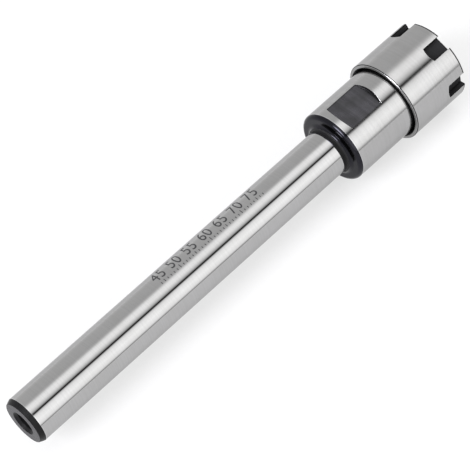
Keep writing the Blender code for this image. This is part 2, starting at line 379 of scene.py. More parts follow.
class Patterns:
    """The Geometry Nodes trees for what repeats: threads, cutters round the axis, and scale lines."""

    def __init__(self) -> None:
        """Build the three trees."""
        self.thread = self.thread_tree()
        self.blocks = self.blocks_tree()
        self.ticks = self.ticks_tree()

    @staticmethod
    def end_tree(pen: Pen, shape: Socket, material: Socket) -> Tree:
        """Realize the shape, give it its material and send it out.

        Args:
            pen: The tree's pen.
            shape: The geometry so far.
            material: The material's socket.

        Returns:
            The finished tree.
        """
        real = pen.node("GeometryNodeRealizeInstances", {"Geometry": shape})
        dressed = pen.node("GeometryNodeSetMaterial", {"Geometry": real.outputs[0], "Material": material})
        return pen.send({"Geometry": dressed.outputs[0]})

    def thread_tree(self) -> Tree:
        """Draw a thread as a grid wound round the axis.

        Rows follow the helix, four to the turn: two on the ridge's crest and two in the groove. Rows that
        run past an end stop there, on a plain ring, and are merged.

        Returns:
            The tree.
        """
        knots = 4.0
        flat_share = 0.125
        turns_before = 2.0
        turns_spare = 3.0
        pen, given = Pen.group("GeometryNodeTree", "helical_thread", {
            "Start": 0.0, "Length": 0.01, "Pitch": 0.001, "Ridge": 0.005, "Groove": 0.0045, "Rear": 0.0045,
            "Front": 0.0045, "Side": 1.0, "Shift": 0.0, "Columns": 96, "Material": None,
        })
        whole_turns = pen.math("CEIL", pen.math("DIVIDE", given["Length"], given["Pitch"]))
        rows = pen.math("MULTIPLY_ADD", pen.math("ADD", whole_turns, turns_spare), knots, 1.0)
        width = pen.math("ADD", given["Columns"], 1.0)
        grid = pen.node("GeometryNodeMeshGrid", {"Vertices X": rows, "Vertices Y": width})

        row, column = pen.split(pen.node("GeometryNodeInputIndex").outputs[0], width)
        turn, knot = pen.split(row, knots)
        in_groove, second = pen.split(knot, knots / 2)
        on_flat = pen.math("MULTIPLY_ADD", second, flat_share, -flat_share / 2)
        share = pen.math("MULTIPLY_ADD", in_groove, 0.5, on_flat)
        round_share = pen.math("DIVIDE", column, given["Columns"])
        helix = pen.math("ADD", pen.math("ADD", turn, share), pen.math("ADD", round_share, given["Shift"]))
        along = pen.math("MULTIPLY", pen.math("SUBTRACT", helix, turns_before), given["Pitch"])
        along = pen.math("MINIMUM", pen.math("MAXIMUM", along, 0.0), given["Length"])

        side = given["Side"]
        level = pen.math("MULTIPLY", pen.blend(in_groove, given["Ridge"], given["Groove"]), side)
        from_rear = pen.math("MULTIPLY_ADD", given["Rear"], side, along)
        to_front = pen.math("SUBTRACT", given["Length"], along)
        from_front = pen.math("MULTIPLY_ADD", given["Front"], side, to_front)
        level = pen.math("MINIMUM", level, pen.math("MINIMUM", from_rear, from_front))
        radius = pen.math("MULTIPLY", level, side)

        angle = pen.math("MULTIPLY", round_share, FULL_TURN)
        place = pen.join(
            pen.math("ADD", along, given["Start"]), pen.math("MULTIPLY", radius, pen.math("COSINE", angle)),
            pen.math("MULTIPLY", radius, pen.math("SINE", angle)),
        )
        wound = pen.node("GeometryNodeSetPosition", {"Geometry": grid.outputs[0], "Position": place})
        merged = pen.node("GeometryNodeMergeByDistance", {"Geometry": wound.outputs[0], "Distance": WELD})
        return self.end_tree(pen, merged.outputs[0], given["Material"])

    def blocks_tree(self) -> Tree:
        """Set equal blocks round the axis, as cutters for slots and slits.

        Returns:
            The tree.
        """
        points_across = 13
        pen, given = Pen.group("GeometryNodeTree", "blocks_round_axis", {
            "Count": 6, "Start": 0.0, "End": 0.01, "Inner": 0.001, "Outer": 0.01, "Width": 0.001,
            "Turn": 0.0, "Bulge": 0.0, "Material": None,
        })
        size = pen.join(
            pen.math("SUBTRACT", given["End"], given["Start"]), given["Width"],
            pen.math("SUBTRACT", given["Outer"], given["Inner"]),
        )
        middle = pen.join(
            pen.math("MULTIPLY", pen.math("ADD", given["End"], given["Start"]), 0.5), 0.0,
            pen.math("MULTIPLY", pen.math("ADD", given["Outer"], given["Inner"]), 0.5),
        )
        block = pen.node("GeometryNodeMeshCube", {"Size": size, "Vertices Y": points_across})
        spot = pen.parts(pen.node("GeometryNodeInputPosition").outputs[0])
        across = pen.math("DIVIDE", spot[1], pen.math("MULTIPLY", given["Width"], 0.5))
        sag = pen.math("SUBTRACT", pen.math("MULTIPLY", across, across), 1.0)
        at_rear = pen.math("LESS_THAN", spot[0], 0.0)
        bow = pen.math("MULTIPLY", pen.math("MULTIPLY", sag, given["Bulge"]), at_rear)
        bowed = pen.node("GeometryNodeSetPosition", {"Geometry": block.outputs[0], "Offset": pen.join(bow)})
        placed = pen.node("GeometryNodeTransform", {"Geometry": bowed.outputs[0], "Translation": middle})
        step = pen.math("DIVIDE", FULL_TURN, given["Count"])
        index = pen.node("GeometryNodeInputIndex").outputs[0]
        points = pen.node("GeometryNodeMeshLine", {"Count": given["Count"], "Offset": (0.0, 0.0, 0.0)})
        copies = pen.node("GeometryNodeInstanceOnPoints", {
            "Points": points.outputs[0], "Instance": placed.outputs[0],
            "Rotation": pen.join(pen.math("MULTIPLY_ADD", index, step, given["Turn"])),
        })
        return self.end_tree(pen, copies.outputs[0], given["Material"])

    def ticks_tree(self) -> Tree:
        """Lay the lines of a scale flat: every tenth one long, every fifth one medium.

        Returns:
            The tree.
        """
        points_along = 9
        pen, given = Pen.group("GeometryNodeTree", "scale_lines", {
            "Count": 31, "Spacing": 0.001, "Start": 0.0, "First": 0, "Short": 0.001, "Medium": 0.0015,
            "Long": 0.002, "Line": 0.0002, "Material": None,
        })
        strip = pen.node("GeometryNodeMeshGrid", {
            "Size X": 1.0, "Size Y": 1.0, "Vertices X": 2, "Vertices Y": points_along,
        })
        raised = pen.node("GeometryNodeTransform", {
            "Geometry": strip.outputs[0], "Translation": (0.0, 0.5, 0.0),
        })
        points = pen.node("GeometryNodeMeshLine", {
            "Count": given["Count"], "Start Location": pen.join(given["Start"]),
            "Offset": pen.join(given["Spacing"]),
        })
        value = pen.math("ADD", pen.node("GeometryNodeInputIndex").outputs[0], given["First"])
        is_fifth = pen.math("LESS_THAN", pen.math("MODULO", value, 5.0), 0.5)
        is_tenth = pen.math("LESS_THAN", pen.math("MODULO", value, 10.0), 0.5)
        length = pen.blend(is_tenth, pen.blend(is_fifth, given["Short"], given["Medium"]), given["Long"])
        copies = pen.node("GeometryNodeInstanceOnPoints", {
            "Points": points.outputs[0], "Instance": raised.outputs[0],
            "Scale": pen.join(given["Line"], length, 1.0),
        })
        return self.end_tree(pen, copies.outputs[0], given["Material"])


class Effects:
    """The shader groups that several finishes share."""

    def __init__(self) -> None:
        """Build the groups once."""
        self.grain = self.grain_group()
        self.film = self.film_group()
        self.edges = self.edges_group()

    @staticmethod
    def grain_group() -> Tree:
        """Draw the lines that a grinding wheel or a cutting tool leaves round the axis.

        Returns:
            The group, which puts out the lines' height and a coarser tone.
        """
        coarse_scale = 0.11
        coarse_share = 0.6
        pen, given = Pen.group("ShaderNodeTree", "tool_lines", {"Spacing": 0.05, "Wander": 0.3})
        place = pen.parts(pen.node("ShaderNodeTexCoord").outputs["Object"])
        slow = pen.math("DIVIDE", given["Wander"], MM)
        spot = pen.join(
            pen.math("DIVIDE", place[0], pen.math("MULTIPLY", given["Spacing"], MM)),
            pen.math("MULTIPLY", place[1], slow), pen.math("MULTIPLY", place[2], slow),
        )
        fine = pen.node("ShaderNodeTexNoise", {"Vector": spot, "Scale": 1.0, "Detail": 2.0})
        coarse = pen.node("ShaderNodeTexNoise", {"Vector": spot, "Scale": coarse_scale, "Detail": 3.0})
        height = pen.math("MULTIPLY_ADD", coarse.outputs[0], coarse_share, fine.outputs[0])
        return pen.send({"Height": height, "Tone": coarse.outputs[0]})

    @staticmethod
    def film_group() -> Tree:
        """Lay a thin film of oil in soft patches, with fine specks.

        Returns:
            The group, which puts out how much film and how many specks there are.
        """
        film_range = (0.35, 0.7)
        speck_range = (0.55, 0.8)
        specks_to_patch = 14.0
        pen, given = Pen.group("ShaderNodeTree", "oil_film", {"Patch Size": 6.0, "Seed": 0.0})
        scale = pen.math("DIVIDE", 1.0 / MM, given["Patch Size"])
        shared = {"Vector": pen.node("ShaderNodeTexCoord").outputs["Object"], "W": given["Seed"]}
        patches = pen.node("ShaderNodeTexNoise", {**shared, "Scale": scale, "Detail": 4.0, "Roughness": 0.6},
                           noise_dimensions="4D")
        fine_scale = pen.math("MULTIPLY", scale, specks_to_patch)
        specks = pen.node("ShaderNodeTexNoise", {**shared, "Scale": fine_scale}, noise_dimensions="4D")
        return pen.send({
            "Film": pen.remap(patches.outputs[0], *film_range),
            "Specks": pen.remap(specks.outputs[0], *speck_range),
        })

    @staticmethod
    def edges_group() -> Tree:
        """Round the edges as deburring does, with a mask near them, which most finishes fill with wear and
        the flats and the milled black faces with painted shade.

        Returns:
            The group, which puts out the mask and the rounded normal.
        """
        pen, given = Pen.group("ShaderNodeTree", "worn_and_shaded_edges", {
            "Radius": 0.0001, "Start": 0.965, "Full": 0.8,
        })
        rounded = pen.node("ShaderNodeBevel", {"Radius": given["Radius"]}, samples=8).outputs[0]
        flat = pen.node("ShaderNodeNewGeometry").outputs["Normal"]
        mask = pen.remap(pen.dot(rounded, flat), given["Start"], given["Full"])
        normal = pen.node("ShaderNodeMix", {0: mask, 4: flat, 5: rounded}, data_type="VECTOR")
        return pen.send({"Mask": mask, "Normal": normal.outputs[1]})


@dataclass(frozen=True)
class SteelFinish:
    """A finish of bare or blackened steel: clean, under the oil film, and near its edges, where most finishes
    show wear and the flats and the milled black faces painted shade.

    The edge range holds the cosines of how far the rounded normal has turned from the face's own, where the
    edge colour starts and where it is full.
    """

    surface: Surface
    colour: Colour
    film_colour: Colour
    # The edge colour and its share are wear on most finishes, and painted shade on the flats and the milled
    # black faces.
    worn_colour: Colour
    roughness: float
    roughness_spread: float = 0.05
    line_spacing: float = 0.09
    line_depth: float = 0.004
    wear: float = 0.3
    metallic: float = 1.0
    specular: float = 0.5
    rim: float = 1.0
    tone_range: Point = (0.3, 0.7)
    tone_spread: float = 0.03
    patch_size: float = 6.0
    seed: float = 0.0
    edge_radius: float = 0.1
    edge_range: Point = (0.965, 0.8)

    def build(self, effects: Effects) -> bpy.types.Material:
        """Make the material.

        Args:
            effects: The shared shader groups.

        Returns:
            The material, named after its surface.
        """
        material, pen, shader = new_material(self.surface.value)
        grain = pen.use(effects.grain, {"Spacing": self.line_spacing})
        film = pen.use(effects.film, {"Patch Size": self.patch_size, "Seed": self.seed})
        edges = pen.use(effects.edges, {
            "Radius": self.edge_radius * MM, "Start": self.edge_range[0], "Full": self.edge_range[1],
        })
        filmed = pen.tint(film["Film"], (*self.colour, 1.0), (*self.film_colour, 1.0))
        # Near the edges the colour turns to the edge colour: wear on most finishes, painted shade on the
        # flats and the milled black faces.
        wear_and_shade_share = pen.math("MULTIPLY", edges["Mask"], self.wear)
        colour = pen.tint(wear_and_shade_share, filmed, (*self.worn_colour, 1.0))
        tone = pen.remap(grain["Tone"], *self.tone_range, 1.0 - self.tone_spread, 1.0 + self.tone_spread)
        toned = pen.node("ShaderNodeVectorMath", {0: colour, "Scale": tone}, operation="SCALE")
        spread = pen.math("ADD", film["Film"], grain["Height"])
        rough = pen.math("MULTIPLY_ADD", spread, self.roughness_spread, self.roughness)
        rough = pen.math("MULTIPLY_ADD", film["Specks"], self.roughness_spread, rough)
        bump = pen.node("ShaderNodeBump", {
            "Height": grain["Height"], "Normal": edges["Normal"], "Distance": self.line_depth * MM,
            "Strength": 1.0,
        })
        pen.fill(shader, {
            "Base Color": toned.outputs[0], "Metallic": self.metallic, "Roughness": rough,
            "Normal": bump.outputs[0], "Specular IOR Level": self.specular,
            "Specular Tint": (self.rim, self.rim, self.rim, 1.0),
        })
        return material


# A broad band along every edge. With a near-black edge colour it paints shade into the corners where faces
# meet.
BROAD_EDGE_SHADE = (0.9995, 0.99)
FINISHES = (
    SteelFinish(
        Surface.GROUND, (0.42, 0.418, 0.419), (0.402, 0.4, 0.398), (0.85, 0.85, 0.85), roughness=0.035,
        roughness_spread=0.012, line_spacing=0.05, line_depth=0.002, wear=0.8, rim=0.75,
    ),
    SteelFinish(
        Surface.SATIN, (0.41, 0.408, 0.408), (0.39, 0.388, 0.386), (0.85, 0.85, 0.85), roughness=0.09,
        roughness_spread=0.02, line_spacing=0.06, line_depth=0.003, wear=0.5, rim=0.7, seed=3.0,
        edge_radius=0.2,
    ),
    SteelFinish(
        Surface.BLACK, (0.082, 0.081, 0.088), (0.066, 0.063, 0.075), (0.15, 0.15, 0.16), roughness=0.22,
        wear=0.2, rim=0.75, tone_spread=0.1, seed=7.0,
    ),
    # The flats darken to almost black near every edge: a thin black oxide border along their outline, and
    # painted shade next to their walls.
    SteelFinish(
        Surface.FLAT, (0.1, 0.098, 0.109), (0.062, 0.062, 0.064), (0.012, 0.012, 0.012), roughness=0.22,
        wear=0.9, tone_spread=0.14, patch_size=4.0, seed=7.0, edge_radius=0.7, edge_range=BROAD_EDGE_SHADE,
    ),
    SteelFinish(
        Surface.LAND, (0.56, 0.56, 0.56), (0.52, 0.52, 0.52), (0.6, 0.6, 0.6), roughness=0.12,
        roughness_spread=0.02, line_spacing=0.06, line_depth=0.002, wear=0.5, seed=4.0,
    ),
    SteelFinish(
        Surface.COLLAR, (0.022, 0.022, 0.0265), (0.027, 0.0265, 0.032), (0.1, 0.1, 0.11), roughness=0.12,
        roughness_spread=0.02, line_depth=0.003, wear=0.2, rim=0.9, tone_spread=0.1, seed=8.0,
    ),
    # Near-black matte for milled faces. Its edge colour is black, so faces darken near every edge: painted
    # shade in the corners of the slots.
    SteelFinish(
        Surface.DARK, (0.018, 0.018, 0.018), (0.021, 0.021, 0.0225), (0.002, 0.002, 0.002), roughness=0.4,
        wear=0.9, metallic=0.0, specular=0.05, tone_spread=0.1, seed=5.0, edge_radius=0.4,
        edge_range=BROAD_EDGE_SHADE,
    ),
    SteelFinish(
        Surface.DEEP, (0.007, 0.007, 0.007), (0.01, 0.01, 0.011), (0.03, 0.03, 0.03), roughness=0.3,
        metallic=0.0, specular=0.09, tone_spread=0.1, seed=6.0,
    ),
    SteelFinish(
        Surface.RIM, (0.35, 0.35, 0.352), (0.32, 0.318, 0.316), (0.5, 0.5, 0.5), roughness=0.2,
        roughness_spread=0.03, line_spacing=0.07, line_depth=0.003, wear=0.4, rim=0.7, seed=10.0,
    ),
    SteelFinish(
        Surface.BORE, (0.26, 0.26, 0.265), (0.22, 0.22, 0.22), (0.45, 0.45, 0.45), roughness=0.2,
        line_spacing=0.1, seed=9.0,
    ),
    SteelFinish(
        Surface.THREAD, (0.24, 0.24, 0.245), (0.2, 0.2, 0.2), (0.45, 0.45, 0.45), roughness=0.28,
        roughness_spread=0.06, line_spacing=0.12, line_depth=0.003, seed=11.0,
    ),
    SteelFinish(
        Surface.SPRING, (0.44, 0.44, 0.45), (0.4, 0.4, 0.4), (0.6, 0.6, 0.6), roughness=0.12,
        roughness_spread=0.04, line_spacing=0.05, line_depth=0.003, wear=0.4, seed=13.0,
    ),
    SteelFinish(
        Surface.MARK, (0.03, 0.03, 0.034), (0.04, 0.04, 0.04), (0.06, 0.06, 0.06), roughness=0.45,
        line_spacing=0.2, line_depth=0.002, wear=0.1, metallic=0.3, edge_radius=0.004,
    ),
    SteelFinish(
        Surface.SCREW, (0.065, 0.065, 0.07), (0.05, 0.05, 0.055), (0.2, 0.2, 0.2), roughness=0.3,
        roughness_spread=0.06, line_spacing=0.08, wear=0.35, seed=17.0,
    ),
)


class Workshop:
    """Everything the sub-assemblies share: patterns, finishes, and the steps that make a piece."""

    def __init__(self) -> None:
        """Build the node trees and the finishes."""
        self.patterns = Patterns()
        effects = Effects()
        self.materials = {finish.surface: finish.build(effects) for finish in FINISHES}

    def turned(self, name: str, columns: int, outlines: list[Outline], *threads: Thread,
               thread_surface: Surface = Surface.THREAD) -> Piece:
        """Spin outlines about the axis, sew threads between them and close the piece.

        Args:
            name: The piece's name.
            columns: How many facets go round the axis.
            outlines: The turned stretches, which meet at the threads' ends.
            threads: The threads.
            thread_surface: Their finish.

        Returns:
            The piece, with outward faces.
        """
        shape = bmesh.new()
        slots = list(Surface)
        for outline in outlines:
            rings = [self.ring(shape, x * MM, radius * MM, columns) for x, radius in outline.points]
            for surface, first, second in zip(outline.surfaces, rings, rings[1:]):
                self.band(shape, first, second, slots.index(surface))
        for thread in threads:
            before = len(shape.faces)
            strip = thread.mesh(self.patterns.thread, columns)
            shape.from_mesh(strip)
            bpy.data.meshes.remove(strip)
            shape.faces.ensure_lookup_table()
            for face in shape.faces[before:]:
                face.material_index = slots.index(thread_surface)
        bmesh.ops.remove_doubles(shape, verts=shape.verts, dist=WELD)
        bmesh.ops.recalc_face_normals(shape, faces=shape.faces)
        open_edges = sum(not edge.is_manifold for edge in shape.edges)
        if open_edges:
            LOG.warning("%s has %d open edges", name, open_edges)
        return in_scene(name, as_mesh(shape, name, *(self.materials[surface] for surface in slots)))

    @staticmethod
    def ring(shape: Shape, x: float, radius: float, columns: int) -> Ring:
        """Add the ring that one point of an outline sweeps.

        Args:
            shape: The mesh under way.
            x: The ring's place along the axis.
            radius: Its radius, or 0 for a point on the axis.
            columns: How many points it has.

        Returns:
            The ring's points, or the one on the axis.
        """
        if radius == 0.0:
            return [shape.verts.new((x, 0.0, 0.0))]
        angles = [FULL_TURN * column / columns for column in range(columns)]
        return [shape.verts.new((x, radius * math.cos(angle), radius * math.sin(angle))) for angle in angles]

    @staticmethod
    def band(shape: Shape, first: Ring, second: Ring, slot: int) -> None:
        """Join two rings with faces.

        Args:
            shape: The mesh under way.
            first: The ring at the start.
            second: The ring at the end.
            slot: The faces' material slot.
        """
        count = max(len(first), len(second))
        for column in range(count):
            after = (column + 1) % count
            if len(first) == 1:
                corners = (first[0], second[after], second[column])
            elif len(second) == 1:
                corners = (first[column], first[after], second[0])
            else:
                corners = (first[column], first[after], second[after], second[column])
            shape.faces.new(corners).material_index = slot

    def cut(self, piece: Piece, cutter_mesh: Mesh) -> None:
        """Take a cutter's shape out of a piece. The cut faces get the cutter's finish.

        Args:
            piece: The piece to cut.
            cutter_mesh: The closed shape that is taken out.
        """
        cutter = in_scene("cutter", cutter_mesh)
        modifier = piece.modifiers.new("cut", "BOOLEAN")
        modifier.operation = "DIFFERENCE"
        modifier.solver = "EXACT"
        modifier.material_mode = "TRANSFER"
        modifier.object = cutter
        whole = evaluated(piece)
        piece.modifiers.remove(modifier)
        piece.data = whole
        bpy.data.objects.remove(cutter)

    def blocks(self, surface: Surface, count: int, span: Point, radii: Point, width: float,
               turn: float = 0.0, bulge: float = 0.0) -> Mesh:
        """Make equal cutters round the axis.

        Args:
            surface: The finish that they leave on the faces they cut.
            count: How many there are.
            span: Where they start and end along the axis.
            radii: How near and how far from the axis they reach.
            width: Their width.
            turn: How far the first one is turned from +Z about the axis, in radians.
            bulge: How far the middle of the rear end stands out, where that end is bowed.

        Returns:
            The cutters as one mesh.
        """
        return grow(self.patterns.blocks, {
            "Count": count, "Start": span[0] * MM, "End": span[1] * MM, "Inner": radii[0] * MM,
            "Outer": radii[1] * MM, "Width": width * MM, "Turn": turn, "Bulge": bulge * MM,
            "Material": self.materials[surface],
        })

    def plug(self, surface: Surface, sides: int, radius: float, middle: float, length: float,
             offset: float = 0.0) -> Mesh:
        """Make a cutter that lies along the axis.

        Args:
            surface: The finish that it leaves on the faces it cuts.
            sides: How many sides it has.
            radius: How far its corners are from its own middle line.
            middle: Where its middle is along the axis.
            length: How long it is.
            offset: How far its middle line lies from the axis, along Y.

        Returns:
            The cutter.
        """
        shape = bmesh.new()
        place = Matrix.Translation((middle * MM, offset * MM, 0.0)) @ Matrix.Rotation(math.pi / 2, 4, "Y")
        bmesh.ops.create_cone(shape, cap_ends=True, segments=sides, radius1=radius * MM,
                              radius2=radius * MM, depth=length * MM, matrix=place)
        return as_mesh(shape, "plug", self.materials[surface])

    def deliver(self, piece: Piece, body: str, slot: str, *nodes: str) -> Piece:
        """Shade a piece, hand it to its body and report it.

        Args:
            piece: The finished piece.
            body: The body that it moves with.
            slot: The record's material slot, which is not used.
            nodes: The solids that it stands for.

        Returns:
            The piece.
        """
        piece.data.shade_smooth()
        piece.data.set_sharp_from_angle(angle=SHARP_ANGLE)
        piece.data.name = piece.name
        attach(piece, body)
        if nodes:
            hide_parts(*nodes)
        triangles = sum(len(face.vertices) - 2 for face in piece.data.polygons)
        LOG.info("%s: %d triangles on body %s", piece.name, triangles, body)
        return piece


@dataclass
class Taper:
    """The collet's long taper, which its seat in the head follows."""

    gauge_radius: float = 8.0
    gauge_place: float = 29.6
    angle: float = math.radians(8.0)

    def radius(self, x: float, clearance: float = 0.0) -> float:
        """Radius at a place along the axis, with a clearance square to the surface."""
        middle = self.gauge_radius + (x - self.gauge_place) * math.tan(self.angle)
        return middle + clearance / math.cos(self.angle)


@dataclass
class ChuckBody:
    """Shank, black collar, head with two wrench flats, threaded nose, taper seat and tapped bore.

    The fillet behind the head is painted darker towards the collar, as painted shade in the hollow at its
    root. Each of its bands has its finish, where it starts and ends in degrees, and how many straight pieces
    it has.
    """

    shop: Workshop
    taper: Taper
    gap: float = 0.3
    shank_radius: float = 6.0
    shank_length: float = 100.0
    end_drop: float = 0.5
    end_taper: float = 1.3
    end_rounding: float = 0.25
    end_rise: float = 0.02
    bright_land: float = 0.14
    hole_radius: float = 2.5
    hole_run: float = 0.3
    countersink: float = 0.7
    collar_length: float = 1.9
    collar_step: float = 0.1
    fillet: float = 1.4
    fillet_shades: tuple[tuple[Surface, float, float, int], ...] = (
        (Surface.DEEP, -90.0, -66.0, 5), (Surface.DARK, -66.0, -48.0, 4), (Surface.COLLAR, -48.0, 0.0, 10),
    )
    head_radius: float = 9.5
    head_edge: float = 1.0
    head_edge_steps: int = 16
    head_length: float = 29.6
    flat_start: float = 3.3
    flat_length: float = 9.9
    flat_height: float = 8.5
    flat_end_radius: float = 13.0
    flat_end_steps: int = 24
    runout_start: float = 20.3
    runout_drop: float = 0.9
    runout_floor: float = 0.8
    ridge_radius: float = 9.45
    groove_radius: float = 8.9
    nose_chamfer: float = 0.225
    mouth_chamfer: float = 0.15
    seat_end: float = 8.06
    relief_end: float = 3.16
    tapped_start: float = 1.687
    tapped_end: float = -34.313
    tapped_ridge: float = 2.52
    tapped_groove: float = 3.02

    def runout(self) -> Point:
        """Give the place and the radius where the thread on the nose starts."""
        return self.runout_start + self.runout_drop + self.runout_floor, self.head_radius - self.runout_drop

    def nose_radius(self) -> float:
        """Radius where the nose's chamfer meets its face."""
        return self.groove_radius - self.nose_chamfer

    def outside(self) -> Outline:
        """Draw the outside from the shank's end to the thread on the nose.

        Returns:
            The outline.
        """
        end = -self.shank_length
        shank = self.shank_radius
        tip = shank - self.end_drop
        collar = shank + self.collar_step
        edge = self.head_edge
        runout = self.runout()
        outline = Outline([(end + self.countersink, self.hole_radius)])
        outline.line(Surface.DEEP, (end, self.hole_radius + self.countersink))
        outline.line(Surface.BLACK, (end, tip - self.end_rounding / 2))
        outline.line(Surface.DEEP, (end + self.end_rounding / 2, tip + self.end_rise),
                     (end + self.end_taper, shank))
        outline.line(Surface.LAND, (end + self.end_taper + self.bright_land, shank))
        outline.line(Surface.GROUND, (-self.collar_length, shank))
        outline.line(Surface.COLLAR, (-self.collar_length + self.collar_step, collar))
        # The fillet's bands get darker towards the collar: painted shade in the hollow at the fillet's root.
        for surface, first, last, steps in self.fillet_shades:
            outline.arc(surface, (-self.fillet, collar + self.fillet), self.fillet, (first, last), steps)
        outline.arc(Surface.COLLAR, (edge, self.head_radius - edge), edge, (180, 90), self.head_edge_steps)
        outline.line(Surface.LAND, (edge + self.bright_land, self.head_radius))
        outline.line(Surface.SATIN, (self.runout_start, self.head_radius))
        outline.line(Surface.BLACK, (self.runout_start + self.runout_drop, runout[1]), runout)
        return outline

    def inside(self) -> Outline:
        """Draw the inside from the nose's face down the taper seat to the tapped bore.

        Returns:
            The outline.
        """
        mouth = self.taper.radius(self.head_length, self.gap) + self.mouth_chamfer
        behind_mouth = self.head_length - self.mouth_chamfer
        relief = self.taper.radius(self.seat_end, self.gap)
        outline = Outline([(self.head_length, self.nose_radius())])
        outline.line(Surface.BORE, (self.head_length, mouth),
                     (behind_mouth, self.taper.radius(behind_mouth, self.gap)))
        outline.line(Surface.SPRING, (self.seat_end, relief))
        outline.line(Surface.BORE, (self.relief_end, relief), (self.tapped_start, self.tapped_groove))
        return outline

    def hole(self) -> Outline:
        """Draw the plain hole from the tapped bore to the shank's end.

        Returns:
            The outline.
        """
        outline = Outline([(self.tapped_end, self.tapped_groove)])
        outline.line(Surface.THREAD, (self.tapped_end - self.hole_run, self.hole_radius))
        # The plain hole's wall is near black: painted shade inside the hole.
        return outline.line(Surface.DEEP, (-self.shank_length + self.countersink, self.hole_radius))

    def flats(self) -> Mesh:
        """Make the cutter for the wrench flats, with ends rounded in plan as a milling cutter leaves them.

        Returns:
            Two prisms, one on each side of the axis.
        """
        half_width = math.sqrt(self.head_radius ** 2 - self.flat_height ** 2)
        corner_sag = math.sqrt(self.flat_end_radius ** 2 - half_width ** 2)
        front, rear = [], []
        for step in range(self.flat_end_steps + 1):
            across = (half_width + OVERSHOOT) * (2 * step / self.flat_end_steps - 1)
            bulge = math.sqrt(self.flat_end_radius ** 2 - across ** 2) - corner_sag
            front.append((self.flat_start + self.flat_length + bulge, across))
            rear.append((self.flat_start - bulge, across))
        prisms = bmesh.new()
        for side in (1.0, -1.0):
            rings = [
                [prisms.verts.new((x * MM, y * MM, side * height * MM)) for x, y in front + rear[::-1]]
                for height in (self.flat_height, self.head_radius + OVERSHOOT)
            ]
            for ring in rings:
                prisms.faces.new(ring)
            self.shop.band(prisms, *rings, 0)
        bmesh.ops.recalc_face_normals(prisms, faces=prisms.faces)
        return as_mesh(prisms, "flats", self.shop.materials[Surface.FLAT])

    def make(self) -> Piece:
        """Build the piece.

        Returns:
            The chuck body.
        """
        runout_front, runout_radius = self.runout()
        nose = Thread(runout_front, self.head_length, self.ridge_radius, self.groove_radius, runout_radius,
                      self.nose_radius(), Side.OUTER)
        tapped = Thread(self.tapped_end, self.tapped_start, self.tapped_ridge, self.tapped_groove,
                        self.tapped_groove, self.tapped_groove, Side.INNER, phase=0.5)
        body = self.shop.turned("fine_chuck_body", BODY_COLUMNS, [self.outside(), self.inside(), self.hole()],
                                nose, tapped)
        self.shop.cut(body, self.flats())
        return self.shop.deliver(body, "chuck_body", "ground_steel", "chuck_body")


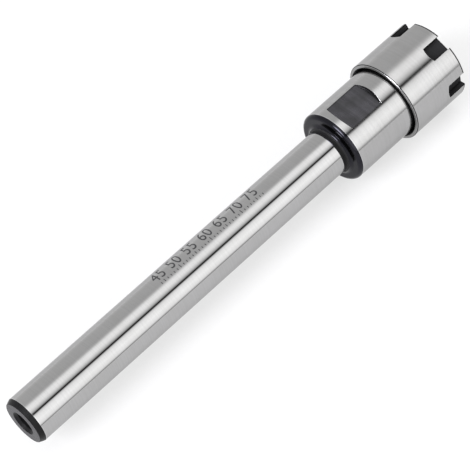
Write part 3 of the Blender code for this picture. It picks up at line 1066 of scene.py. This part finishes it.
@dataclass
class ClampingNut:
    """The nut: slots for a pin wrench, thread, and the off-centre lip that pulls the collet out."""

    shop: Workshop
    radius: float = 11.0
    rear: float = 18.7
    front: float = 36.2
    edge_radius: float = 0.4
    edge_steps: int = 8
    edge_shade: float = 0.1
    rear_chamfer: float = 0.26
    rear_break: float = 0.1
    skirt_chamfer: float = 0.4
    skirt_radius: float = 9.8
    skirt_depth: float = 2.0
    ridge_radius: float = 9.0
    groove_radius: float = 9.55
    thread_front: float = 30.2
    throat_radius: float = 8.6
    throat_front: float = 31.62
    lip_rear: float = 31.92
    lip_front: float = 32.57
    lip_radius: float = 7.35
    lip_bore_radius: float = 8.1
    lip_offset: float = 0.45
    pocket_radius: float = 8.846
    pocket_rear: float = 32.97
    cone_start: float = 33.089
    cone_angle: float = math.radians(30.0)
    mouth_edge: float = 0.25
    slot_count: int = 6
    slot_width: float = 4.0
    slot_length: float = 5.6
    slot_floor: float = 9.296
    slot_bulge: float = 0.5
    clocking: float = math.radians(20.9)

    def cone_radius(self, x: float) -> float:
        """Radius of the mouth's cone at a place along the axis."""
        return self.pocket_radius + (self.cone_start - x) * math.tan(self.cone_angle)

    def thread_rear(self) -> float:
        """Place along the axis where the thread starts, in front of the skirt."""
        return self.rear + self.skirt_depth + self.skirt_radius - self.groove_radius

    def shell(self) -> Outline:
        """Draw the nut from its thread's front end through the mouth and round the outside to its rear.

        Returns:
            The outline.
        """
        edge = self.edge_radius
        mouth = self.front - self.mouth_edge
        rim = self.radius - self.rear_chamfer
        outline = Outline([(self.thread_front, self.groove_radius)])
        outline.line(
            Surface.BLACK, (self.thread_front, self.throat_radius), (self.throat_front, self.throat_radius),
            (self.lip_rear, self.lip_radius), (self.lip_front, self.lip_radius),
            (self.pocket_rear, self.pocket_radius),
        )
        outline.line(Surface.BORE, (self.cone_start, self.pocket_radius), (mouth, self.cone_radius(mouth)))
        outline.line(Surface.SATIN, (self.front, self.cone_radius(self.front) + self.mouth_edge),
                     (self.front, self.radius - edge))
        outline.arc(Surface.DARK, (self.front - edge, self.radius - edge), edge, (0, 90), self.edge_steps)
        # The band behind the front edge's round is near black: a painted dark reflection that widens the dark
        # line along the edge.
        outline.line(Surface.DARK, (self.front - edge - self.edge_shade, self.radius))
        outline.line(Surface.SATIN, (self.rear + self.rear_chamfer, self.radius))
        outline.line(Surface.DARK, (self.rear + self.rear_break, rim + self.rear_break))
        outline.line(Surface.RIM, (self.rear, rim), (self.rear, self.skirt_radius + self.skirt_chamfer))
        # The skirt's chamfer and bore are near-black matte: painted shade in the gap between the nut and the
        # head.
        outline.line(Surface.DARK, (self.rear + self.skirt_chamfer, self.skirt_radius),
                     (self.rear + self.skirt_depth, self.skirt_radius))
        return outline.line(Surface.BLACK, (self.thread_rear(), self.groove_radius))

    def slots(self) -> Mesh:
        """Make the cutters for the slots that the pin wrench holds.

        Returns:
            The cutters as one mesh.
        """
        return self.shop.blocks(
            Surface.DARK, self.slot_count, (self.front - self.slot_length, self.front + OVERSHOOT),
            (self.slot_floor, self.radius + OVERSHOOT), self.slot_width, self.clocking, self.slot_bulge,
        )

    def lip_bore(self) -> Mesh:
        """Make the cutter that bores the lip off the nut's axis.

        Returns:
            A short drum.
        """
        middle = (self.throat_front + self.pocket_rear) / 2
        length = 2 * (self.pocket_rear - self.throat_front)
        return self.shop.plug(Surface.BLACK, LIP_COLUMNS, self.lip_bore_radius, middle, length,
                              self.lip_offset)

    def make(self) -> Piece:
        """Build the piece.

        Returns:
            The clamping nut.
        """
        thread = Thread(self.thread_rear(), self.thread_front, self.ridge_radius, self.groove_radius,
                        self.groove_radius, self.groove_radius, Side.INNER, phase=0.5)
        nut = self.shop.turned("fine_clamping_nut", BODY_COLUMNS, [self.shell()], thread)
        self.shop.cut(nut, self.slots())
        self.shop.cut(nut, self.lip_bore())
        return self.shop.deliver(nut, "clamping_nut", "nut_steel", "clamping_nut")


@dataclass
class SpringCollet:
    """The spring collet, slit by turns from its front and from its rear."""

    shop: Workshop
    taper: Taper
    front: float = 35.86
    length: float = 27.5
    end_chamfer: float = 0.5
    soft_edge: float = 0.12
    head_radius: float = 8.5
    head_rear: float = 32.439
    head_front: float = 33.089
    cone_drop: float = 1.6
    groove_radius: float = 7.2
    groove_front: float = 32.039
    groove_rear: float = 31.039
    groove_run: float = 0.4
    bore_radius: float = 4.0
    bore_edge: float = 0.25
    relief_step: float = 0.3
    grip_length: float = 20.0
    slits: int = 8
    slit_width: float = 0.6
    front_bridge: float = 4.0
    rear_bridge: float = 5.7

    def outline(self) -> Outline:
        """Draw the collet from its rear along the outside to its front and back down the bore.

        Returns:
            The outline.
        """
        rear = self.front - self.length
        chamfer = rear + self.end_chamfer
        shoulder = self.groove_rear - self.groove_run
        soft = self.soft_edge
        tip = self.head_radius - self.cone_drop
        relief = self.bore_radius + self.relief_step
        relief_start = self.front - self.grip_length
        drawn = Outline([(rear, relief)])
        drawn.line(
            Surface.SPRING, (rear, self.taper.radius(chamfer) - self.end_chamfer / 2),
            (chamfer, self.taper.radius(chamfer)), (shoulder - soft, self.taper.radius(shoulder - soft)),
            (shoulder, self.taper.radius(shoulder) - soft / 2), (self.groove_rear, self.groove_radius),
            (self.groove_front, self.groove_radius), (self.head_rear, self.head_radius - soft / 2),
            (self.head_rear + soft, self.head_radius), (self.head_front, self.head_radius),
            (self.front - soft, tip + soft / 2), (self.front, tip - soft / 2),
            (self.front, self.bore_radius + self.bore_edge), (self.front - self.bore_edge, self.bore_radius),
        )
        return drawn.line(Surface.BORE, (relief_start, self.bore_radius),
                          (relief_start - self.relief_step, relief), (rear, relief))

    def make(self) -> Piece:
        """Build the piece.

        Returns:
            The spring collet.
        """
        rear = self.front - self.length
        from_front = (rear + self.front_bridge, self.front + OVERSHOOT)
        from_rear = (rear - OVERSHOOT, self.front - self.rear_bridge)
        radii = (self.bore_radius / 2, self.head_radius + OVERSHOOT)
        collet = self.shop.turned("fine_collet", COLLET_COLUMNS, [self.outline()])
        for span, turn in ((from_front, 0.0), (from_rear, math.pi / self.slits)):
            slits = self.shop.blocks(Surface.BORE, self.slits, span, radii, self.slit_width, turn)
            self.shop.cut(collet, slits)
        return self.shop.deliver(collet, "collet", "spring_steel", "collet")


@dataclass
class StopScrew:
    """The stop screw, with a hexagon socket towards the collet."""

    shop: Workshop
    front: float = -2.0
    length: float = 12.0
    ridge_radius: float = 2.93
    groove_radius: float = 2.43
    end_radius: float = 2.1
    socket_sides: int = 6
    across_flats: float = 3.0
    socket_depth: float = 4.5

    def socket(self) -> Mesh:
        """Make the cutter for the hexagon socket.

        Returns:
            A hexagonal prism.
        """
        corner = self.across_flats / 2 / math.cos(math.pi / self.socket_sides)
        return self.shop.plug(Surface.SCREW, self.socket_sides, corner, self.front, 2 * self.socket_depth)

    def make(self) -> Piece:
        """Build the piece.

        Returns:
            The stop screw.
        """
        rear = self.front - self.length
        thread = Thread(rear, self.front, self.ridge_radius, self.groove_radius, self.end_radius,
                        self.end_radius, Side.OUTER)
        faces = [Outline([(rear, 0.0)]).line(Surface.SCREW, (rear, self.end_radius)),
                 Outline([(self.front, self.end_radius)]).line(Surface.SCREW, (self.front, 0.0))]
        screw = self.shop.turned("fine_stop_screw", SCREW_COLUMNS, faces, thread,
                                 thread_surface=Surface.SCREW)
        self.shop.cut(screw, self.socket())
        return self.shop.deliver(screw, "stop_screw", "black_steel", "stop_screw")


@dataclass
class ShankScale:
    """A plain depth scale etched into the shank: a line at each millimetre and a number at every fifth."""

    shop: Workshop
    shank_radius: float = 6.0
    shank_length: float = 100.0
    first: int = 44
    last: int = 77
    foot_angle: float = math.radians(92.0)
    short: float = 0.55
    medium: float = 0.8
    long: float = 1.05
    line: float = 0.2
    digit_height: float = 3.5
    digit_share: float = 0.72
    digit_width: float = 0.72
    digit_spacing: float = 1.08
    digit_foot: float = 1.3
    number_step: int = 5
    height_above: float = 0.006
    depth_below: float = 0.03
    strip: float = 0.12

    def lines(self) -> Mesh:
        """Lay the lines flat, along X and Y.

        Returns:
            Their mesh.
        """
        return grow(self.shop.patterns.ticks, {
            "Count": self.last - self.first + 1, "Spacing": MM,
            "Start": (self.first - self.shank_length) * MM, "First": self.first, "Short": self.short * MM,
            "Medium": self.medium * MM, "Long": self.long * MM, "Line": self.line * MM,
            "Material": self.shop.materials[Surface.MARK],
        })

    def number(self, value: int) -> Mesh:
        """Lay one number flat, centred on its line.

        Args:
            value: The number.

        Returns:
            Its mesh.
        """
        text = bpy.data.curves.new(f"number_{value}", "FONT")
        text.body = str(value)
        text.align_x = "CENTER"
        text.size = self.digit_height * MM / self.digit_share
        text.space_character = self.digit_spacing
        host = in_scene(text.name, text)
        mesh = evaluated(host)
        bpy.data.objects.remove(host)
        place = Matrix.Translation(((value - self.shank_length) * MM, self.digit_foot * MM, 0.0))
        mesh.transform(place @ Matrix.Diagonal((self.digit_width, 1.0, 1.0, 1.0)))
        return mesh

    def wrap(self, shape: Shape) -> None:
        """Cut flat marks into strips, give them thickness and lay them round the shank.

        Args:
            shape: The marks.
        """
        top = (self.digit_foot + self.digit_height + OVERSHOOT) / self.strip
        for step in range(1, int(top)):
            bmesh.ops.bisect_plane(
                shape, geom=shape.verts[:] + shape.edges[:] + shape.faces[:], dist=WELD / 10,
                plane_co=(0.0, step * self.strip * MM, 0.0), plane_no=(0.0, 1.0, 0.0),
            )
        border = [
            (loop.vert, loop.link_loop_next.vert)
            for face in shape.faces for loop in face.loops if loop.edge.is_boundary
        ]
        tops = {point: shape.verts.new(point.co) for point in shape.verts[:]}
        for face in shape.faces[:]:
            shape.faces.new([tops[point] for point in face.verts])
        for first, second in border:
            shape.faces.new((first, second, tops[second], tops[first]))
        radius = self.shank_radius * MM
        for points, height in ((tops.keys(), -self.depth_below), (tops.values(), self.height_above)):
            for point in points:
                out = radius + height * MM
                angle = self.foot_angle - point.co.y / radius
                point.co = Vector((point.co.x, out * math.cos(angle), out * math.sin(angle)))
        bmesh.ops.recalc_face_normals(shape, faces=shape.faces)

    def make(self) -> Piece:
        """Build the piece.

        Returns:
            The scale, as thin closed marks that stand a hair above the shank.
        """
        shape = bmesh.new()
        first_number = math.ceil(self.first / self.number_step) * self.number_step
        numbers = range(first_number, self.last + 1, self.number_step)
        for mesh in [self.lines(), *(self.number(value) for value in numbers)]:
            shape.from_mesh(mesh)
            bpy.data.meshes.remove(mesh)
        bmesh.ops.remove_doubles(shape, verts=shape.verts, dist=WELD)
        self.wrap(shape)
        scale = in_scene("shank_scale", as_mesh(shape, "shank_scale", self.shop.materials[Surface.MARK]))
        return self.shop.deliver(scale, "chuck_body", "black_steel")


@dataclass
class Studio:
    """Pale floor, light tent and the photograph's camera.

    Each pair of the tent holds an angle about the chuck's axis, in degrees from -Y over +Z, and how
    bright the tent is there.
    """

    floor_height: float = -11.06
    floor_size: float = 3000.0
    floor_cells: int = 8
    floor_tone: Point = (0.29, 0.31)
    floor_grain: float = 900.0
    floor_roughness: float = 0.9
    floor_glow: float = 0.57
    camera_place: tuple[float, float, float] = (-209.81, -201.80, 395.84)
    azimuth: float = math.radians(-41.243)
    elevation: float = math.radians(55.875)
    roll: float = math.radians(-5.76)
    lens: float = 158.10
    nearest: float = 10.0
    farthest: float = 10000.0
    tent: tuple[Point, ...] = (
        (-180.0, 1.1), (-20.0, 1.3), (0.0, 1.3), (3.5, 0.35), (8.0, 1.3), (13.0, 1.76), (31.0, 2.07),
        (47.0, 1.86), (56.0, 1.45), (61.0, 0.02), (65.0, 0.02), (71.0, 0.92), (79.0, 1.5), (87.0, 1.83),
        (98.0, 1.82), (104.0, 1.56), (112.0, 0.93), (119.0, 0.77), (166.0, 0.83), (180.0, 1.0),
    )
    brightest: float = 2.3
    front_edge: Point = (0.8, 0.98)
    front_grey: Colour = (0.3, 0.3, 0.3)
    rear_edge: Point = (-0.72, -0.9)
    rear_grey: Colour = (0.35, 0.35, 0.37)
    lamp_direction: tuple[float, float, float] = (-0.8, 0.042, 0.598)
    lamp_edge: Point = (0.955, 0.98)
    lamp_level: float = 15.0
    lamp_blue: float = 1.05

    def light(self) -> None:
        """Make the tent: soft panels along the chuck, a dark gap where the camera looks in, and a lamp."""
        world = bpy.data.worlds.new("light_tent")
        bpy.context.scene.world = world
        world.use_nodes = True
        pen = Pen(world.node_tree)
        direction = pen.node("ShaderNodeTexCoord").outputs["Generated"]
        parts = pen.parts(direction)
        angle = pen.math("ARCTAN2", parts[2], pen.math("MULTIPLY", parts[1], -1.0))
        ramp = pen.node("ShaderNodeValToRGB", {0: pen.math("MULTIPLY_ADD", angle, 1 / FULL_TURN, 0.5)})
        stops = ramp.color_ramp.elements
        stops[0].position, stops[1].position = 0.0, 1.0
        for degrees, _ in self.tent[1:-1]:
            stops.new(degrees / 360 + 0.5)
        for stop, (_, level) in zip(stops, self.tent):
            stop.color = (*(level / self.brightest,) * 3, 1.0)
        fronted = pen.tint(pen.remap(parts[0], *self.front_edge), ramp.outputs[0], (*self.front_grey, 1.0))
        closed = pen.tint(pen.remap(parts[0], *self.rear_edge), fronted, (*self.rear_grey, 1.0))
        lamp = pen.remap(pen.dot(direction, self.lamp_direction), *self.lamp_edge)
        lamp_level = self.lamp_level / self.brightest
        lit = pen.tint(lamp, closed, (lamp_level, lamp_level, self.lamp_blue * lamp_level, 1.0))
        pen.fill(world.node_tree.nodes["Background"], {"Color": lit, "Strength": self.brightest})

    def floor(self) -> None:
        """Lay the floor just under the nut, as a pale sheet that is lit from below as well."""
        material, pen, shader = new_material("pale_sheet")
        place = pen.node("ShaderNodeTexCoord").outputs["Object"]
        spots = pen.node("ShaderNodeTexNoise", {"Vector": place, "Scale": self.floor_grain, "Detail": 3.0})
        tone = pen.remap(spots.outputs[0], 0.0, 1.0, *self.floor_tone)
        colour = pen.node("ShaderNodeCombineColor", {0: tone, 1: tone, 2: tone})
        pen.fill(shader, {
            "Base Color": colour.outputs[0], "Roughness": self.floor_roughness, "Specular IOR Level": 0.0,
            "Emission Color": (1.0, 1.0, 1.0, 1.0), "Emission Strength": self.floor_glow,
        })
        shape = bmesh.new()
        bmesh.ops.create_grid(
            shape, x_segments=self.floor_cells, y_segments=self.floor_cells, size=self.floor_size * MM / 2,
            matrix=Matrix.Translation((0.0, 0.0, self.floor_height * MM)),
        )
        floor = in_scene("studio_floor", as_mesh(shape, "studio_floor", material))

    def camera(self) -> None:
        """Set the camera where the photograph was taken."""
        data = bpy.data.cameras.new("photo_camera")
        data.lens = self.lens
        data.clip_start = self.nearest * MM
        data.clip_end = self.farthest * MM
        camera = in_scene("photo_camera", data)
        level = math.cos(self.elevation)
        back = Vector((math.sin(self.azimuth) * level, -math.cos(self.azimuth) * level,
                       math.sin(self.elevation)))
        camera.rotation_mode = "QUATERNION"
        camera.rotation_quaternion = (-back).to_track_quat("-Z", "Y") @ Quaternion((0.0, 0.0, 1.0), self.roll)
        camera.location = Vector(self.camera_place) * MM
        bpy.context.scene.camera = camera

    def make(self) -> None:
        """Build the studio."""
        self.light()
        self.floor()
        self.camera()
        bpy.context.scene.view_settings.view_transform = "Standard"
        LOG.info("studio: floor, light tent and camera")


def main() -> None:
    """Build the studio, then the four pieces and the scale, in the order of assembly."""
    logging.basicConfig(level=logging.INFO, format="%(name)s: %(message)s")
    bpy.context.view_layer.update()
    Studio().make()
    shop = Workshop()
    taper = Taper()
    ChuckBody(shop, taper).make()
    StopScrew(shop).make()
    SpringCollet(shop, taper).make()
    ClampingNut(shop).make()
    ShankScale(shop).make()


if __name__ == "__main__":
    main()
